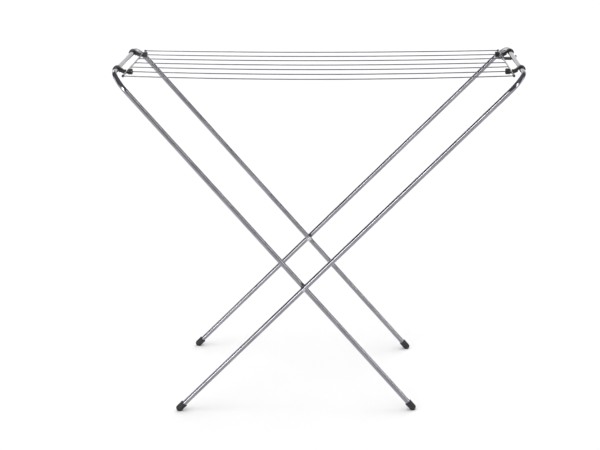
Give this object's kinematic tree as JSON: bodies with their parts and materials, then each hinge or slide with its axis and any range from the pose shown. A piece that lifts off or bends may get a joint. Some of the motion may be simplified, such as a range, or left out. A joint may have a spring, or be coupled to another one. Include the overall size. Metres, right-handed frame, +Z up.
{
  "type": "folding clothes drying rack",
  "caption": "Folding clothes drying rack: two bent-tube frames cross as an X on rivets and carry a flat grid of wires, with foot caps, clips and a latch.",
  "frame": {"origin": "on the floor under the open rack, midway between its two crossbars; the middle of the bounding box to within 4 mm", "axes": "+X along the wires from the inner frame's crossbar to the outer frame's, +Y across the rack from front to back, +Z up"},
  "size_m": [1.13, 0.5742, 0.9615],
  "materials": {
    "tube_steel": "satin plated steel tube",
    "wire_steel": "smooth plated steel wire",
    "rivet_steel": "bright zinc-plated steel",
    "clip_plastic": "moulded black plastic, slight sheen",
    "cap_plastic": "moulded black plastic",
    "foot_plastic": "soft black plastic with a fine grain"
  },
  "bodies": {
    "outer_frame": {"outer_tube": "tube_steel", "outer_foot_near": "foot_plastic", "outer_foot_far": "foot_plastic", "pivot_rivets": "rivet_steel", "pivot_washers": "rivet_steel", "pivot_spacer_near": "cap_plastic", "pivot_spacer_far": "cap_plastic"},
    "inner_frame": {"inner_tube": "tube_steel", "inner_foot_near": "foot_plastic", "inner_foot_far": "foot_plastic"},
    "grid": {"cross_rod_left": "wire_steel", "cross_rod_right": "wire_steel", "wire_1": "wire_steel", "wire_2": "wire_steel", "wire_3": "wire_steel", "wire_4": "wire_steel", "wire_5": "wire_steel", "wire_6": "wire_steel", "wire_7": "wire_steel", "rod_cap_left_near": "cap_plastic", "rod_cap_left_far": "cap_plastic", "rod_cap_right_near": "cap_plastic", "rod_cap_right_far": "cap_plastic", "clip_left_2": "clip_plastic", "clip_left_6": "clip_plastic", "clip_right_2": "clip_plastic", "clip_right_6": "clip_plastic"},
    "latch": {"latch": "clip_plastic"}
  },
  "joints": [
    {"name": "frame_fold", "type": "hinge", "parent": "outer_frame", "child": "inner_frame", "pos_m": [-0.03952, 0, 0.35911], "axis": [0, 1, 0], "range_deg": [0, 85.97]},
    {"name": "grid_swing", "type": "hinge", "parent": "inner_frame", "child": "grid", "pos_m": [-0.552, 0, 0.95], "axis": [0, 1, 0], "range_deg": [-310.94, 0]},
    {"name": "latch_turn", "type": "hinge", "parent": "grid", "child": "latch", "pos_m": [0.525, 0, 0.9445], "axis": [0, 1, 0], "range_deg": [0, 100]}
  ],
  "couplings": [
    {"joint": "grid_swing", "follows": "frame_fold", "ratio": -3.6168}
  ]
}
